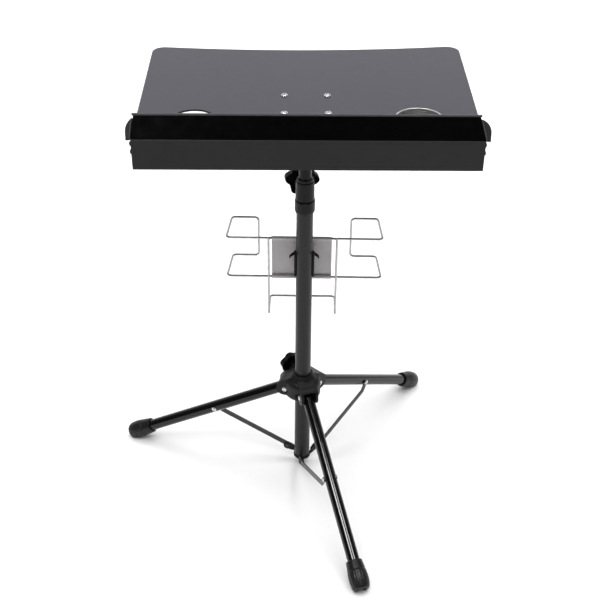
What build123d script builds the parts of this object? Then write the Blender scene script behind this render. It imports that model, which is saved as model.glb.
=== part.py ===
from build123d import *
import os
from math import sin, cos, radians, degrees, atan2, sqrt

os.makedirs("parts", exist_ok=True)

# ----------------------------------------------------------------------------
# Driving dimensions, millimetres. Z is up, the pole is the Z axis, the front of
# the stand (apron side) is -Y and +X is to its right. Heights are drawn from a
# datum FLOOR above the floor; every piece is lifted by FLOOR when it is written,
# so that the floor is Z = 0 in the finished part.
# ----------------------------------------------------------------------------

FLOOR = 5.0

# pole
POLE_R = 12.7            # lower tube, 25.4 mm outside
POLE_RI = 11.2
POLE_Z0, POLE_Z1 = 14.0, 504.0
MAST_R = 9.525           # upper tube, 19.05 mm outside
MAST_RI = 8.325
MAST_Z0, MAST_Z1 = 150.0, 603.5

# clutch collar
CLUTCH_Z0, CLUTCH_SEAM, CLUTCH_RIM, CLUTCH_Z1 = 482.1, 504.5, 534.5, 539.4
CLUTCH_KNOB_Z = 521.5
CLUTCH_KNOB_AZ = 97.0

# tripod: the braces mirror the upper half of the legs, so the hub stays level
LEG_AZ = (-73.43, 46.57, 166.57)     # front, right, left
LEG_NAMES = ("front", "right", "left")
PIVOT_R = 27.0           # leg pivots on the hub and brace pivots on the spider
HUB_PIVOT_Z = 155.4
SPIDER_PIVOT_Z = 18.0
LEG_SLOPE = 28.9         # degrees below the horizontal
LEG_R = 9.525
LEG_RI = 8.025
LEG_TUBE_END = 290.0     # along the leg, from the hub pivot
LEG_TUBE_START = -5.5
FOOT_S0, FOOT_S1 = 276.5, 321.4      # mouth and end of the rubber foot, along the leg
BRACE_LEN = (HUB_PIVOT_Z - SPIDER_PIVOT_Z) / 2 / sin(radians(LEG_SLOPE))
BRACE_T0, BRACE_T1 = 10.0, 12.0      # the brace lies beside its leg
BRACE_W = 8.4
RIVET_R = 2.45
HUB_RIVET_R = 3.0

# hub
HUB_BORE_R = 13.0
HUB_SLEEVE_R = 15.5
HUB_Z0, HUB_ROOF_Z, HUB_Z1 = 141.0, 175.5, 186.0
HUB_WEB_R = 29.0         # round body between the three arms
HUB_KNOB_AZ = 111.0
HUB_KNOB_Z = 171.5

# desk, drawn in its own tilted frame about the tilt bolt
TILT_Z = 626.0
TILT_DEG = 2.5
DESK_L, DESK_R = -233.0, 237.0       # the desk sits a little to the right of the mast
DESK_V0, DESK_V1 = -109.3, 195.7
DESK_TOP = 28.9
SHEET = 1.5
REAR_CORNER_R = 18.0
REAR_HOLLOW = 8.6
REAR_LEFT_V, REAR_RIGHT_V = 197.5, 206.0   # the rear edge is hollow and runs a little askew
APRON_LOW = -14.6
LIP_LEN = 36.5
LIP_DEG = 45.0
SCREW_X, SCREW_V0, SCREW_V1 = 30.4, -28.0, 27.8
CUP_X, CUP_V, CUP_RIM_R = 154.5, -47.3, 34.4
HOLE_X, HOLE_V, HOLE_R = -154.0, -49.5, 29.3

# accessory rack
RAIL_Y, RAIL_TOP, RAIL_LOW = 16.2, 428.0, 359.3
WIRE_R = 1.75
RACK_BACK_Y = 80.0
RACK_TURN = -1.2         # the clip may be turned on the pole

ST, CT = sin(radians(TILT_DEG)), cos(radians(TILT_DEG))
DESK = Plane(origin=(0, 0, TILT_Z), x_dir=(1, 0, 0), z_dir=(0, -ST, CT))
PROFILE = Plane(origin=(0, 0, TILT_Z), x_dir=(0, CT, ST), z_dir=(1, 0, 0))


def save(piece, name, turn=0.0):
    """Writes a piece, turned about the pole and lifted onto the floor."""
    piece.part = piece.part.rotate(Axis.Z, turn).moved(Location((0, 0, FLOOR)))
    piece.part.label = name
    export_step(piece.part, "parts/" + name + ".step")


def radial(az, t=0.0):
    """Upright plane through the pole: local x is the radius, y is the height
    and z is the sideways distance, positive on the brace's side of the leg."""
    a = radians(az)
    return Plane(origin=(t * sin(a), -t * cos(a), 0),
                 x_dir=(cos(a), sin(a), 0), z_dir=(sin(a), -cos(a), 0))


def along(az, s, t=0.0):
    """Point on the axis of a leg, s from its hub pivot, t sideways."""
    a, b = radians(az), radians(LEG_SLOPE)
    r, z = PIVOT_R + s * cos(b), HUB_PIVOT_Z - s * sin(b)
    return (r * cos(a) + t * sin(a), r * sin(a) - t * cos(a), z)


def leg_dir(az):
    a, b = radians(az), radians(LEG_SLOPE)
    return (cos(b) * cos(a), cos(b) * sin(a), -sin(b))


# ----------------------------------------------------------------------------
# Pole
# ----------------------------------------------------------------------------
with BuildPart() as lower_tube:
    with BuildSketch(Plane.XY.offset(POLE_Z0)):
        Circle(POLE_R)
        Circle(POLE_RI, mode=Mode.SUBTRACT)
    extrude(amount=POLE_Z1 - POLE_Z0)
save(lower_tube, "lower_tube")

with BuildPart() as upper_tube:
    with BuildSketch(Plane.XY.offset(MAST_Z0)):
        Circle(MAST_R)
        Circle(MAST_RI, mode=Mode.SUBTRACT)
    extrude(amount=MAST_Z1 - MAST_Z0)
    with BuildSketch(Plane.YZ.offset(-20)):
        with Locations((0, 590)):
            Circle(2.03)
    extrude(amount=40, mode=Mode.SUBTRACT)
save(upper_tube, "upper_tube")

with BuildPart() as glide_plug:
    with BuildSketch(Plane.XY.offset(136)):
        Circle(10.9)
        Circle(4.5, mode=Mode.SUBTRACT)
    extrude(amount=13.9)
    with BuildSketch(Plane.XY.offset(149.9)):
        Circle(8.24)
        Circle(4.5, mode=Mode.SUBTRACT)
    extrude(amount=15)
    chamfer(glide_plug.edges().filter_by(GeomType.CIRCLE).sort_by(Axis.Z)[-1:], 0.8)
save(glide_plug, "glide_plug")

CK = radians(CLUTCH_KNOB_AZ)


def clutch_plane(r):
    """Plane across the axis of the clutch knob, r from the pole's axis."""
    return Plane(origin=(r * cos(CK), r * sin(CK), CLUTCH_KNOB_Z), x_dir=(sin(CK), -cos(CK), 0), z_dir=(cos(CK), sin(CK), 0))


# clutch collar on the mouth of the lower tube
with BuildPart() as clutch_lower_sleeve:
    with BuildSketch(Plane.XZ):
        with BuildLine():
            Polyline((12.75, CLUTCH_Z0), (13.2, CLUTCH_Z0), (14.7, CLUTCH_Z0 + 3.6), (15.1, CLUTCH_Z0 + 5.5),
                     (15.0, CLUTCH_SEAM - 0.8), (14.4, CLUTCH_SEAM - 0.1), (12.75, CLUTCH_SEAM - 0.1), close=True)
        make_face()
    revolve(axis=Axis.Z)
    # two small slots in the seam, at the front
    with BuildSketch(Plane.XZ.offset(10)):
        with Locations((-5.0, CLUTCH_SEAM - 0.6), (5.5, CLUTCH_SEAM - 0.6)):
            Rectangle(3.4, 2.6)
    extrude(amount=10, mode=Mode.SUBTRACT)
save(clutch_lower_sleeve, "clutch_lower_sleeve")

with BuildPart() as clutch_upper_sleeve:
    with BuildSketch(Plane.XZ):
        with BuildLine():
            Polyline((11.2, CLUTCH_SEAM + 0.1), (13.6, CLUTCH_SEAM + 0.1), (14.2, CLUTCH_SEAM + 0.9),
                     (13.6, CLUTCH_RIM - 0.6), (13.0, CLUTCH_RIM), (12.3, CLUTCH_RIM + 0.3),
                     (12.3, CLUTCH_Z1 - 0.7), (11.8, CLUTCH_Z1), (11.2, CLUTCH_Z1), close=True)
        make_face()
    revolve(axis=Axis.Z)
    # boss for the knob's insert, at the back
    with BuildSketch(clutch_plane(11.5)):
        Circle(9)
    extrude(amount=10.5)
    with BuildSketch(Plane.XY.offset(CLUTCH_SEAM)):
        Circle(11.2)
    extrude(amount=40, mode=Mode.SUBTRACT)
    with BuildSketch(clutch_plane(14)):
        Circle(6.03)
    extrude(amount=9, mode=Mode.SUBTRACT)
    with BuildSketch(clutch_plane(3)):
        Circle(4.4)
    extrude(amount=20, mode=Mode.SUBTRACT)
save(clutch_upper_sleeve, "clutch_upper_sleeve")

with BuildPart() as clutch_insert:
    with BuildSketch(clutch_plane(14.1)):
        Circle(6.0)
        Circle(4.08, mode=Mode.SUBTRACT)
    extrude(amount=7.9)
save(clutch_insert, "clutch_insert")

with BuildPart() as clutch_bush:
    with BuildSketch(Plane.XY.offset(472)):
        Circle(11.15)
        Circle(9.85, mode=Mode.SUBTRACT)
    extrude(amount=CLUTCH_Z1 - 0.2 - 472)
    with BuildSketch(clutch_plane(0)):
        Circle(4.4)
    extrude(amount=16, mode=Mode.SUBTRACT)
save(clutch_bush, "clutch_bush")


# ----------------------------------------------------------------------------
# Lobed knobs and their studs
# ----------------------------------------------------------------------------
def lobed_knob(base, radius, neck, height, bore, depth, turn, core=0.77):
    with BuildPart() as knob:
        with BuildSketch(base):
            Circle(9.0)
        extrude(amount=neck)
        with BuildSketch(base.offset(neck)) as star:
            Circle(radius * core)
            with PolarLocations(radius * (core - 0.04), 6, start_angle=turn):
                Circle(radius * (1.04 - core))
            fillet(star.vertices(), radius * 0.12)
        extrude(amount=height)
        out = Axis(base.origin, base.z_dir)
        fillet(knob.faces().sort_by(out)[-1].edges(), 2.4)
        with BuildSketch(base.offset(neck + height - 0.01)):
            Circle(radius * 0.42)
        extrude(amount=1.6, taper=35)
        with BuildSketch(base):
            Circle(bore)
        extrude(amount=depth, mode=Mode.SUBTRACT)
    return knob


clutch_knob = lobed_knob(clutch_plane(23), 26.0, 5, 15, 4.05, 16, 3)
save(clutch_knob, "clutch_knob")

with BuildPart() as clutch_stud:
    with BuildSketch(clutch_plane(9.95)):
        Circle(4.0)
    extrude(amount=28)
save(clutch_stud, "clutch_stud")

HK = radians(HUB_KNOB_AZ)


def hub_knob_plane(r):
    return Plane(origin=(r * cos(HK), r * sin(HK), HUB_KNOB_Z), x_dir=(sin(HK), -cos(HK), 0), z_dir=(cos(HK), sin(HK), 0))


hub_knob = lobed_knob(hub_knob_plane(34), 21.0, 5, 13, 4.05, 14, 12, 0.81)
save(hub_knob, "hub_knob")

with BuildPart() as hub_stud:
    with BuildSketch(hub_knob_plane(13.1)):
        Circle(4.0)
    extrude(amount=34)
save(hub_stud, "hub_stud")


# ----------------------------------------------------------------------------
# Tripod hub
# ----------------------------------------------------------------------------
with BuildPart() as hub:
    with BuildSketch(Plane.XY.offset(HUB_Z0)):
        Circle(HUB_SLEEVE_R)
    extrude(amount=HUB_Z1 - HUB_Z0)
    # round body between the arms, with a sloping top that runs up to the pole
    with BuildSketch(Plane.XZ):
        with BuildLine():
            Polyline((14.0, HUB_PIVOT_Z - 10.0), (HUB_WEB_R - 2.0, HUB_PIVOT_Z - 10.0), (HUB_WEB_R, HUB_PIVOT_Z - 8.0),
                     (HUB_WEB_R, HUB_ROOF_Z - 7.0))
            ThreePointArc((HUB_WEB_R, HUB_ROOF_Z - 7.0), (HUB_WEB_R - 2.2, HUB_ROOF_Z - 1.6), (HUB_WEB_R - 6.5, HUB_ROOF_Z + 1.6))
            Polyline((HUB_WEB_R - 6.5, HUB_ROOF_Z + 1.6), (17.0, HUB_Z1 - 1.2), (15.8, HUB_Z1), (14.0, HUB_Z1), (14.0, HUB_PIVOT_Z - 10.0))
        make_face()
    revolve(axis=Axis.Z)
    for az in LEG_AZ:
        # arm over the leg: two cheeks and a roof, rounded at its end
        with BuildSketch(radial(az, -14.0)):
            with BuildLine():
                Line((14.5, HUB_PIVOT_Z - 11.5), (PIVOT_R + 1, HUB_PIVOT_Z - 11.5))
                ThreePointArc((PIVOT_R + 1, HUB_PIVOT_Z - 11.5), (PIVOT_R + 10.2, HUB_PIVOT_Z - 8.0), (PIVOT_R + 14.2, HUB_PIVOT_Z + 0.5))
                Line((PIVOT_R + 14.2, HUB_PIVOT_Z + 0.5), (PIVOT_R + 13.6, HUB_PIVOT_Z + 8.5))
                ThreePointArc((PIVOT_R + 13.6, HUB_PIVOT_Z + 8.5), (PIVOT_R + 9.2, HUB_PIVOT_Z + 14.8),
                              (PIVOT_R + 1, HUB_ROOF_Z - 0.6))
                Polyline((PIVOT_R + 1, HUB_ROOF_Z - 0.6), (17.5, HUB_ROOF_Z + 5.5), (14.5, HUB_ROOF_Z + 5.5), (14.5, HUB_PIVOT_Z - 11.5))
            make_face()
        extrude(amount=28.0)
    # knob boss
    with BuildSketch(hub_knob_plane(14.5)):
        Circle(9.5)
    extrude(amount=18.5)
    # the legs swing in slots that are open below and outwards
    for az in LEG_AZ:
        with BuildSketch(radial(az, -10.0)):
            with BuildLine():
                Polyline((15.55, HUB_Z0 - 2), (60, HUB_Z0 - 2), (60, HUB_PIVOT_Z + 13.2), (15.55, HUB_PIVOT_Z + 13.2), close=True)
            make_face()
        extrude(amount=20.0, mode=Mode.SUBTRACT)
    with BuildSketch(Plane.XY.offset(HUB_Z0 - 1)):
        Circle(HUB_BORE_R)
    extrude(amount=HUB_Z1 - HUB_Z0 + 2, mode=Mode.SUBTRACT)
    with BuildSketch(hub_knob_plane(12)):
        Circle(4.4)
    extrude(amount=24, mode=Mode.SUBTRACT)
    with BuildSketch(hub_knob_plane(20)):
        Circle(6.03)
    extrude(amount=14, mode=Mode.SUBTRACT)
    for az in LEG_AZ:
        with BuildSketch(radial(az, -20)):
            with Locations((PIVOT_R, HUB_PIVOT_Z)):
                Circle(HUB_RIVET_R + 0.04)
        extrude(amount=40, mode=Mode.SUBTRACT)
        # flat seats for the rivet heads
        for t0, h in ((14.0, 8.0), (-14.0, -8.0)):
            with BuildSketch(radial(az, t0)):
                with Locations((PIVOT_R, HUB_PIVOT_Z)):
                    Circle(6.2)
            extrude(amount=h, mode=Mode.SUBTRACT)
save(hub, "hub")

with BuildPart() as hub_insert:
    with BuildSketch(hub_knob_plane(20.1)):
        Circle(6.0)
        Circle(4.08, mode=Mode.SUBTRACT)
    extrude(amount=12.8)
save(hub_insert, "hub_insert")

with BuildPart() as hub_rivets:
    for az in LEG_AZ:
        for t0, r, h, tp in ((-14.0, HUB_RIVET_R, 28.0, 0), (14.0, 4.5, 2.2, 30)):
            with BuildSketch(radial(az, t0)):
                with Locations((PIVOT_R, HUB_PIVOT_Z)):
                    Circle(r)
            extrude(amount=h, taper=tp)
        with BuildSketch(radial(az, -14.0)):
            with Locations((PIVOT_R, HUB_PIVOT_Z)):
                Circle(4.5)
        extrude(amount=-2.2, taper=30)
save(hub_rivets, "hub_rivets")

# ----------------------------------------------------------------------------
# Legs, feet and braces
# ----------------------------------------------------------------------------
for az, side in zip(LEG_AZ, LEG_NAMES):
    start = Plane(origin=along(az, LEG_TUBE_START), x_dir=radial(az).z_dir, z_dir=leg_dir(az))
    axis = Axis(along(az, 0), leg_dir(az))
    rest = Plane(origin=along(az, 0), x_dir=leg_dir(az), z_dir=radial(az).z_dir)

    with BuildPart() as leg:
        with BuildSketch(start):
            Circle(LEG_R)
            Circle(LEG_RI, mode=Mode.SUBTRACT)
        extrude(amount=LEG_TUBE_END - LEG_TUBE_START)
        with BuildSketch(rest.offset(-20)):
            Circle(HUB_RIVET_R + 0.08)
            with Locations((BRACE_LEN, 0)):
                Circle(RIVET_R + 0.04)
        extrude(amount=40, mode=Mode.SUBTRACT)
    save(leg, "leg_tube_" + side)

    # rubber foot, swollen towards its sole and cut flat on the floor
    with BuildPart() as foot:
        with BuildSketch(rest):
            with BuildLine():
                Polyline((LEG_TUBE_END + 0.2, 0), (LEG_TUBE_END + 0.2, LEG_R + 0.03), (FOOT_S0, LEG_R + 0.03), (FOOT_S0, 11.8))
                Spline((FOOT_S0, 11.8), (FOOT_S0 + 1.3, 12.7), (FOOT_S0 + 14, 14.2), (FOOT_S0 + 27.5, 15.3), (FOOT_S0 + 37.5, 14.5),
                       (FOOT_S1 - 2.6, 13.1), (FOOT_S1 - 0.6, 11.9), (FOOT_S1, 10.2), tangents=[(0.4, 1), (0.05, -1)])
                Polyline((FOOT_S1, 10.2), (FOOT_S1, 0), (LEG_TUBE_END + 0.2, 0))
            make_face()
        revolve(axis=axis)
        split(bisect_by=Plane.XY.offset(-FLOOR), keep=Keep.TOP)
    save(foot, "foot_" + side)

    with BuildPart() as brace:
        with BuildSketch(radial(az, BRACE_T0)):
            b = radians(LEG_SLOPE)
            low = Vector(PIVOT_R, SPIDER_PIVOT_Z)
            high = Vector(PIVOT_R + BRACE_LEN * cos(b), (HUB_PIVOT_Z + SPIDER_PIVOT_Z) / 2)
            bend = high + Vector(-9.0, -15.0)
            # bar with a bent upper end
            for p, q in ((low, bend), (bend, high)):
                run = q - p
                with Locations((p + q) / 2):
                    SlotCenterToCenter(run.length, BRACE_W, rotation=degrees(atan2(run.Y, run.X)))
            with Locations((PIVOT_R, SPIDER_PIVOT_Z),
                           (PIVOT_R + BRACE_LEN * cos(b), (HUB_PIVOT_Z + SPIDER_PIVOT_Z) / 2)):
                Circle(RIVET_R + 0.08, mode=Mode.SUBTRACT)
        extrude(amount=BRACE_T1 - BRACE_T0)
    save(brace, "brace_" + side)

    # rivet that joins the brace to the leg; it is fixed in the leg
    with BuildPart() as leg_rivet:
        with BuildSketch(rest.offset(-LEG_R - 0.4)):
            with Locations((BRACE_LEN, 0)):
                Circle(RIVET_R)
        extrude(amount=LEG_R + 0.4 + BRACE_T1 + 0.4)
        with BuildSketch(rest.offset(BRACE_T1 + 0.3)):
            with Locations((BRACE_LEN, 0)):
                Circle(4.0)
        extrude(amount=1.8, taper=28)
        with BuildSketch(rest.offset(-LEG_R - 0.3)):
            with Locations((BRACE_LEN, 0)):
                Circle(4.0)
        extrude(amount=-1.8, taper=28)
    save(leg_rivet, "leg_rivet_" + side)

# ----------------------------------------------------------------------------
# Spider on the foot of the pole
# ----------------------------------------------------------------------------
with BuildPart() as spider:
    # plug in the end of the tube, with a disc under it
    with BuildSketch(Plane.XY.offset(8.5)):
        Circle(14.0)
    extrude(amount=POLE_Z0 - 8.5 - 0.03)
    chamfer(spider.faces().sort_by(Axis.Z)[0].edges(), 1.5)
    with BuildSketch(Plane.XY.offset(11.0)):
        Circle(POLE_RI - 0.03)
    extrude(amount=21.0)
    for az in LEG_AZ:
        # flat lug that starts under the tube and carries the brace's pivot
        with BuildSketch(radial(az, 6.0)):
            with BuildLine():
                Polyline((3, 8.5), (PIVOT_R - 3.0, 11.0), (PIVOT_R, 24.5), (PIVOT_R - 7.5, 22.6), (14.2, 19.0), (14.2, POLE_Z0 - 0.03), (3, POLE_Z0 - 0.03), close=True)
            make_face()
            with Locations((PIVOT_R, SPIDER_PIVOT_Z)):
                Circle(6.8)
        extrude(amount=3.7)
    for az in LEG_AZ:
        with BuildSketch(radial(az, 1.0)):
            with Locations((PIVOT_R, SPIDER_PIVOT_Z)):
                Circle(RIVET_R + 0.04)
        extrude(amount=10, mode=Mode.SUBTRACT)
save(spider, "spider")

with BuildPart() as spider_rivets:
    for az in LEG_AZ:
        with BuildSketch(radial(az, 6.0)):
            with Locations((PIVOT_R, SPIDER_PIVOT_Z)):
                Circle(RIVET_R)
        extrude(amount=BRACE_T1 + 0.3 - 6.0)
        with BuildSketch(radial(az, BRACE_T1 + 0.3)):
            with Locations((PIVOT_R, SPIDER_PIVOT_Z)):
                Circle(3.9)
        extrude(amount=1.6, taper=28)
        with BuildSketch(radial(az, 6.0)):
            with Locations((PIVOT_R, SPIDER_PIVOT_Z)):
                Circle(3.9)
        extrude(amount=-1.4, taper=28)
save(spider_rivets, "spider_rivets")

# ----------------------------------------------------------------------------
# Tilt head and desk bracket
# ----------------------------------------------------------------------------
with BuildPart() as tilt_head:
    with BuildSketch(Plane.XY.offset(578)):
        Circle(13)
    extrude(amount=29)
    chamfer(tilt_head.faces().sort_by(Axis.Z)[0].edges(), 1.2)
    with BuildSketch(Plane.YZ.offset(-8)):
        with Locations((0, TILT_Z)):
            Circle(12.5)
        with Locations((0, (604 + TILT_Z) / 2)):
            Rectangle(25, TILT_Z - 604)
    extrude(amount=16)
    with BuildSketch(Plane.XY.offset(577)):
        Circle(MAST_R + 0.03)
    extrude(amount=MAST_Z1 + 0.1 - 577, mode=Mode.SUBTRACT)
    with BuildSketch(Plane.YZ.offset(-20)):
        with Locations((0, TILT_Z)):
            Circle(4.08)
        with Locations((0, 590)):
            Circle(2.03)
    extrude(amount=40, mode=Mode.SUBTRACT)
save(tilt_head, "tilt_head")

with BuildPart() as head_pin:
    with BuildSketch(Plane.YZ.offset(-13.4)):
        with Locations((0, 590)):
            Circle(2.0)
    extrude(amount=26.8)
save(head_pin, "head_pin")

with BuildPart() as desk_bracket:
    with BuildSketch(DESK.offset(DESK_TOP - SHEET - 2.5)):
        RectangleRounded(84, 78, 8)
        with Locations((-SCREW_X, SCREW_V0), (SCREW_X, SCREW_V0), (-SCREW_X, SCREW_V1), (SCREW_X, SCREW_V1)):
            Circle(2.6, mode=Mode.SUBTRACT)
    extrude(amount=2.5)
    for x in (-11.1, 8.6):
        with BuildSketch(PROFILE.offset(x)):
            Circle(13)
            with BuildLine():
                Polyline((-13, 0), (13, 0), (20, DESK_TOP - SHEET - 2.4), (-20, DESK_TOP - SHEET - 2.4), close=True)
            make_face()
            Circle(4.04, mode=Mode.SUBTRACT)
        extrude(amount=2.5)
save(desk_bracket, "desk_bracket")

with BuildPart() as tilt_bolt:
    with BuildSketch(PROFILE.offset(-16.2)):
        RegularPolygon(7.4, 6)
    extrude(amount=5.0)
    with BuildSketch(PROFILE.offset(-11.3)):
        Circle(4.0)
    extrude(amount=40)
save(tilt_bolt, "tilt_bolt")

with BuildPart() as tilt_washers:
    for x in (-8.57, 8.05):
        with BuildSketch(PROFILE.offset(x)):
            Circle(11)
            Circle(4.06, mode=Mode.SUBTRACT)
        extrude(amount=0.52)
save(tilt_washers, "tilt_washers")

tilt_knob = lobed_knob(Plane(origin=(11.6, 0, TILT_Z), x_dir=(0, CT, ST), z_dir=(1, 0, 0)), 21, 5, 15, 4.07, 18.5, 0)
save(tilt_knob, "tilt_knob")

with BuildPart() as bracket_screws:
    for x in (-SCREW_X, SCREW_X):
        for v in (SCREW_V0, SCREW_V1):
            with BuildSketch(DESK.offset(DESK_TOP - 12)):
                with Locations((x, v)):
                    Circle(2.5)
            extrude(amount=12)
            with BuildSketch(DESK.offset(DESK_TOP)):
                with Locations((x, v)):
                    Circle(4.9)
            extrude(amount=1.2)
            with BuildSketch(DESK.offset(DESK_TOP + 1.2)):
                with Locations((x, v)):
                    Circle(4.9)
            extrude(amount=1.9, taper=38)
save(bracket_screws, "bracket_screws")

with BuildPart() as bracket_nuts:
    for x in (-SCREW_X, SCREW_X):
        for v in (SCREW_V0, SCREW_V1):
            with BuildSketch(DESK.offset(DESK_TOP - SHEET - 2.5 - 4.2)):
                with Locations((x, v)):
                    RegularPolygon(4.6, 6)
                    Circle(2.54, mode=Mode.SUBTRACT)
            extrude(amount=4.2)
save(bracket_nuts, "bracket_nuts")

# ----------------------------------------------------------------------------
# Desk
# ----------------------------------------------------------------------------
with BuildPart() as desk_panel:
    with BuildSketch(DESK.offset(DESK_TOP - SHEET)) as outline:
        with BuildLine():
            Polyline((DESK_L, REAR_LEFT_V), (DESK_L, DESK_V0), (DESK_R, DESK_V0), (DESK_R, REAR_RIGHT_V))
            ThreePointArc((DESK_R, REAR_RIGHT_V), ((DESK_L + DESK_R) / 2, DESK_V1 - REAR_HOLLOW), (DESK_L, REAR_LEFT_V))
        make_face()
        fillet(outline.vertices().sort_by(Axis.Y)[-2:], REAR_CORNER_R)
        with Locations((CUP_X, CUP_V)):
            Circle(CUP_RIM_R - 1.2, mode=Mode.SUBTRACT)
        with Locations((HOLE_X, HOLE_V)):
            Circle(HOLE_R + 1.2, mode=Mode.SUBTRACT)
        with Locations((-SCREW_X, SCREW_V0), (SCREW_X, SCREW_V0), (-SCREW_X, SCREW_V1), (SCREW_X, SCREW_V1)):
            Circle(2.6, mode=Mode.SUBTRACT)
    extrude(amount=SHEET)
save(desk_panel, "desk_panel")

LC, LS = cos(radians(LIP_DEG)), sin(radians(LIP_DEG))
FACE_V = DESK_V0 - SHEET              # outer face of the apron
with BuildPart() as front_apron:
    with BuildSketch(PROFILE.offset(DESK_L)):
        with BuildLine():
            Polyline((FACE_V, APRON_LOW), (DESK_V0 + 1.9, APRON_LOW), (DESK_V0 + 1.9, APRON_LOW + 7.6), (DESK_V0, APRON_LOW + 7.6),
                     (DESK_V0, DESK_TOP), (FACE_V + SHEET / LC, DESK_TOP), (FACE_V + SHEET * LC, DESK_TOP + SHEET * LS),
                     (FACE_V, DESK_TOP), close=True)
        make_face()
    extrude(amount=DESK_R - DESK_L)
    # folded tabs that the side flanges are screwed to
    for x in (DESK_L + 1.4, DESK_R - 3.0):
        with BuildSketch(PROFILE.offset(x)):
            with BuildLine():
                Polyline((DESK_V0, 2), (DESK_V0 + 22, 4), (DESK_V0 + 22, 24), (DESK_V0, 26), close=True)
            make_face()
        extrude(amount=1.6)
save(front_apron, "front_apron")

# the lip's own plane: local x is X, y runs up the lip from the crease
crease = PROFILE.from_local_coords((FACE_V, DESK_TOP, 0))
lip_up = PROFILE.from_local_coords((FACE_V + LC, DESK_TOP + LS, 0)) - crease
LIP = Plane(origin=crease, x_dir=(1, 0, 0), z_dir=Vector(1, 0, 0).cross(lip_up))
with BuildPart() as front_lip:
    with BuildSketch(LIP):
        with BuildLine():
            Polyline((DESK_L + 0.2, SHEET), (DESK_R - 0.2, SHEET), (230.5, LIP_LEN), (-230, LIP_LEN), close=True)
        make_face()
    extrude(amount=-SHEET)
    with BuildSketch(Plane(origin=LIP.from_local_coords((-232, LIP_LEN, -SHEET / 2)), x_dir=LIP.y_dir, z_dir=(1, 0, 0))):
        Circle(1.8)
    extrude(amount=464.5)
save(front_lip, "front_lip")

for s, side, edge in ((-1, "left", -DESK_L), (1, "right", DESK_R)):
    with BuildPart() as end_cap:
        with BuildSketch(LIP.offset(-0.3)):
            with BuildLine():
                Polyline((s * (edge + 0.4), 0.0), (s * (edge + 6.2), 0.0), (s * (edge + 7.4), 13.0))
                ThreePointArc((s * (edge + 7.4), 13.0), (s * (edge + 4.6), 24.6), (s * 231.4, 32.0))
                Line((s * 231.4, 32.0), (s * (edge + 0.4), 0.0))
            make_face()
        extrude(amount=-8)
        with BuildSketch(LIP.offset(-SHEET - 0.3)):
            with BuildLine():
                Polyline((s * 222, 8), (s * 236, 8), (s * 236, 26), (s * 222, 26), close=True)
            make_face()
        extrude(amount=-5)
        split(bisect_by=DESK.offset(DESK_TOP + 0.02), keep=Keep.TOP)
    save(end_cap, "end_cap_" + side)

    x0 = DESK_R - 1.3 if s > 0 else DESK_L - 0.2
    with BuildPart() as side_flange:
        with BuildSketch(PROFILE.offset(x0)):
            with BuildLine():
                Polyline((DESK_V0 + 2.1, DESK_TOP - SHEET), (DESK_V0 + 2.1, APRON_LOW + 2), (DESK_V0 + 14, APRON_LOW + 2),
                         (60, DESK_TOP - SHEET - 8), (60, DESK_TOP - SHEET), close=True)
            make_face()
            with Locations((DESK_V0 + 7.5, 20), (DESK_V0 + 7.5, 8)):
                Circle(1.9, mode=Mode.SUBTRACT)
        extrude(amount=1.5)
    save(side_flange, "side_flange_" + side)

with BuildPart() as side_screws:
    for s, x in ((-1, DESK_L - 0.2), (1, DESK_R + 0.2)):
        for w in (8, 20):
            with BuildSketch(PROFILE.offset(x)):
                with Locations((DESK_V0 + 7.5, w)):
                    Circle(3.9)
            extrude(amount=s * 3.1, taper=20)
            with BuildSketch(PROFILE.offset(x)):
                with Locations((DESK_V0 + 7.5, w)):
                    Circle(1.8)
            extrude(amount=-s * 1.55)
save(side_screws, "side_screws")

with BuildPart() as hole_trim:
    with BuildSketch(PROFILE.offset(HOLE_X)):
        with BuildLine():
            c = HOLE_V
            Polyline((c + HOLE_R, DESK_TOP + 0.9), (c + HOLE_R + 2.2, DESK_TOP + 0.9), (c + HOLE_R + 2.6, DESK_TOP + 0.03),
                     (c + HOLE_R + 1.17, DESK_TOP + 0.03), (c + HOLE_R + 1.17, DESK_TOP - SHEET - 0.03),
                     (c + HOLE_R + 2.2, DESK_TOP - SHEET - 0.03), (c + HOLE_R + 2.0, DESK_TOP - SHEET - 1.1),
                     (c + HOLE_R, DESK_TOP - SHEET - 1.1), close=True)
        make_face()
    revolve(axis=Axis(DESK.from_local_coords((HOLE_X, HOLE_V, 0)), DESK.z_dir))
save(hole_trim, "hole_trim")

with BuildPart() as cup:
    with BuildSketch(PROFILE.offset(CUP_X)):
        with BuildLine():
            c, top = CUP_V, DESK_TOP + 0.3
            R = CUP_RIM_R
            Polyline((c, top - 50), (c + 27.5, top - 50))
            ThreePointArc((c + 27.5, top - 50), (c + 29.4, top - 49.2), (c + 30.2, top - 47.2))
            Line((c + 30.2, top - 47.2), (c + R - 1.7, top))
            Line((c + R - 1.7, top), (c + R, top))
            ThreePointArc((c + R, top), (c + R + 0.1, top + 1.1), (c + R - 0.9, top + 1.7))
            ThreePointArc((c + R - 0.9, top + 1.7), (c + R - 2.2, top + 1.3), (c + R - 2.6, top))
            Line((c + R - 2.6, top), (c + 29.3, top - 47.0))
            ThreePointArc((c + 29.3, top - 47.0), (c + 28.6, top - 48.6), (c + 27.2, top - 49.1))
            Polyline((c + 27.2, top - 49.1), (c, top - 49.1), (c, top - 50))
        make_face()
    revolve(axis=Axis(DESK.from_local_coords((CUP_X, CUP_V, 0)), DESK.z_dir))
save(cup, "cup")

# ----------------------------------------------------------------------------
# Wire rack on the pole
# ----------------------------------------------------------------------------
def wire(points, radius):
    with BuildPart() as w:
        with BuildLine() as path:
            FilletPolyline(*points, radius=radius)
        with BuildSketch(Plane(origin=path.line @ 0, z_dir=path.line % 0)):
            Circle(WIRE_R)
        sweep(path=path.line)
    return w


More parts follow.
